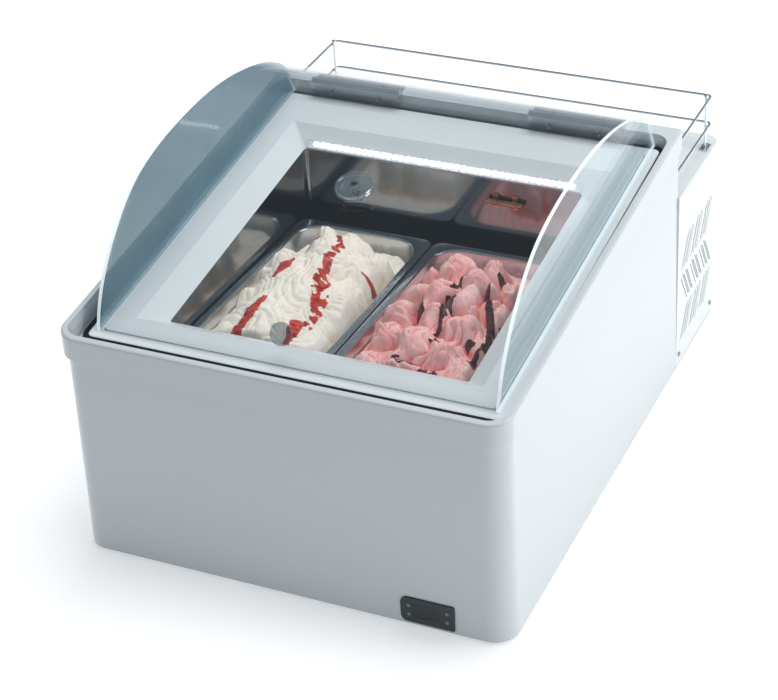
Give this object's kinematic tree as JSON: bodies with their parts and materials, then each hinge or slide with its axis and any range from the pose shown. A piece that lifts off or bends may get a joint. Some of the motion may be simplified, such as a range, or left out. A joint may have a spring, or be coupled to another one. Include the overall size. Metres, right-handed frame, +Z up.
{
  "type": "ice cream dipping cabinet",
  "caption": "Countertop ice cream dipping cabinet with an arched clear lid over two lift-out pans, and a machine housing with a gallery rail behind.",
  "frame": {"origin": "on the counter, under the middle of the cabinet's footprint", "axes": "+X to the right seen from the front, +Y to the rear, +Z up"},
  "size_m": [0.524, 0.74, 0.4272],
  "materials": {
    "shell_white": "gloss",
    "insulation_foam": "matte",
    "polished_steel": "polished",
    "frame_grey": "satin",
    "seal_black": "satin",
    "clear_lid": "gloss",
    "clear_knob": "gloss",
    "smoked_plastic": "gloss",
    "light_diffuser": "satin",
    "light_board": "matte",
    "lamp_yellow": "gloss",
    "cream_white": "satin",
    "cream_pink": "satin",
    "hinge_steel": "satin",
    "screw_steel": "satin",
    "chrome_wire": "polished",
    "galvanised": "satin",
    "painted_white": "gloss",
    "foot_rubber": "matte",
    "compressor_black": "satin",
    "copper": "satin",
    "fin_aluminium": "satin",
    "fan_plastic": "satin",
    "control_black": "satin",
    "control_glass": "gloss",
    "board_green": "satin",
    "button_grey": "satin",
    "spigot_white": "satin"
  },
  "bodies": {
    "cabinet": {"base_pan": "galvanised", "capillary_tube": "copper", "case_screws": "screw_steel", "compressor_bolts": "screw_steel", "compressor_grommets": "foot_rubber", "compressor_plate": "galvanised", "compressor_shell": "compressor_black", "condenser_fins": "fin_aluminium", "condenser_tubes": "copper", "control_bezel": "control_black", "control_window": "control_glass", "discharge_line": "copper", "display_module": "board_green", "drain_plug": "seal_black", "drain_spigot": "spigot_white", "evaporator_coil": "copper", "fan_bracket": "galvanised", "fan_motor": "galvanised", "fan_shroud": "fan_plastic", "filter_drier": "copper", "foam_block": "insulation_foam", "hinge_leaves_body": "hinge_steel", "hinge_pins": "hinge_steel", "hinge_screws_body": "screw_steel", "housing_shelf": "painted_white", "inner_tank": "polished_steel", "led_board": "light_board", "led_lamps": "lamp_yellow", "led_profile": "light_diffuser", "lid_gasket": "seal_black", "outer_tub": "shell_white", "power_inlet": "control_black", "rail_mounts": "hinge_steel", "rail_posts": "chrome_wire", "rail_wires": "chrome_wire", "rear_housing": "painted_white", "rubber_feet": "foot_rubber", "start_relay": "control_black", "suction_line": "copper", "switch_body": "control_black", "temperature_probe": "copper", "well_frame": "frame_grey"},
    "lid": {"lid_canopy": "clear_lid", "lid_cheeks": "clear_lid", "lid_knob": "clear_knob", "knob_screw_and_nut": "screw_steel", "finger_pad": "smoked_plastic", "hinge_leaves_lid": "hinge_steel", "hinge_screws_lid": "screw_steel"},
    "left_pan": {"pan_left": "polished_steel", "ice_cream_left": "cream_white"},
    "right_pan": {"pan_right": "polished_steel", "ice_cream_right": "cream_pink"},
    "fan": {"fan_blades": "fan_plastic"},
    "rocker": {"switch_rocker": "control_black"},
    "up_button": {"button_up": "button_grey"},
    "down_button": {"button_down": "button_grey"},
    "set_button": {"button_set": "button_grey"},
    "power_button": {"button_power": "button_grey"}
  },
  "joints": [
    {"name": "lid_hinge", "type": "hinge", "parent": "cabinet", "child": "lid", "pos_m": [0, 0.1794, 0.34162], "axis": [-1, 0, 0], "range_deg": [0, 90]},
    {"name": "left_pan_lift", "type": "slide", "parent": "cabinet", "child": "left_pan", "axis": [0, 0, 1], "range_m": [0, 0.09]},
    {"name": "right_pan_lift", "type": "slide", "parent": "cabinet", "child": "right_pan", "axis": [0, 0, 1], "range_m": [0, 0.09]},
    {"name": "fan_spin", "type": "hinge", "parent": "cabinet", "child": "fan", "pos_m": [-0.154, 0.286, 0.0775], "axis": [1, 0, 0], "continuous": true},
    {"name": "mains_rocker", "type": "hinge", "parent": "cabinet", "child": "rocker", "pos_m": [0.184, 0.365, 0.0985], "axis": [0, 0, -1], "range_deg": [0, 20]},
    {"name": "up_press", "type": "slide", "parent": "cabinet", "child": "up_button", "axis": [0, 1, 0], "range_m": [0, 0.0006], "stiffness_N_per_m": 1500},
    {"name": "down_press", "type": "slide", "parent": "cabinet", "child": "down_button", "axis": [0, 1, 0], "range_m": [0, 0.0006], "stiffness_N_per_m": 1500},
    {"name": "set_press", "type": "slide", "parent": "cabinet", "child": "set_button", "axis": [0, 1, 0], "range_m": [0, 0.0006], "stiffness_N_per_m": 1500},
    {"name": "power_press", "type": "slide", "parent": "cabinet", "child": "power_button", "axis": [0, 1, 0], "range_m": [0, 0.0006], "stiffness_N_per_m": 1500}
  ]
}
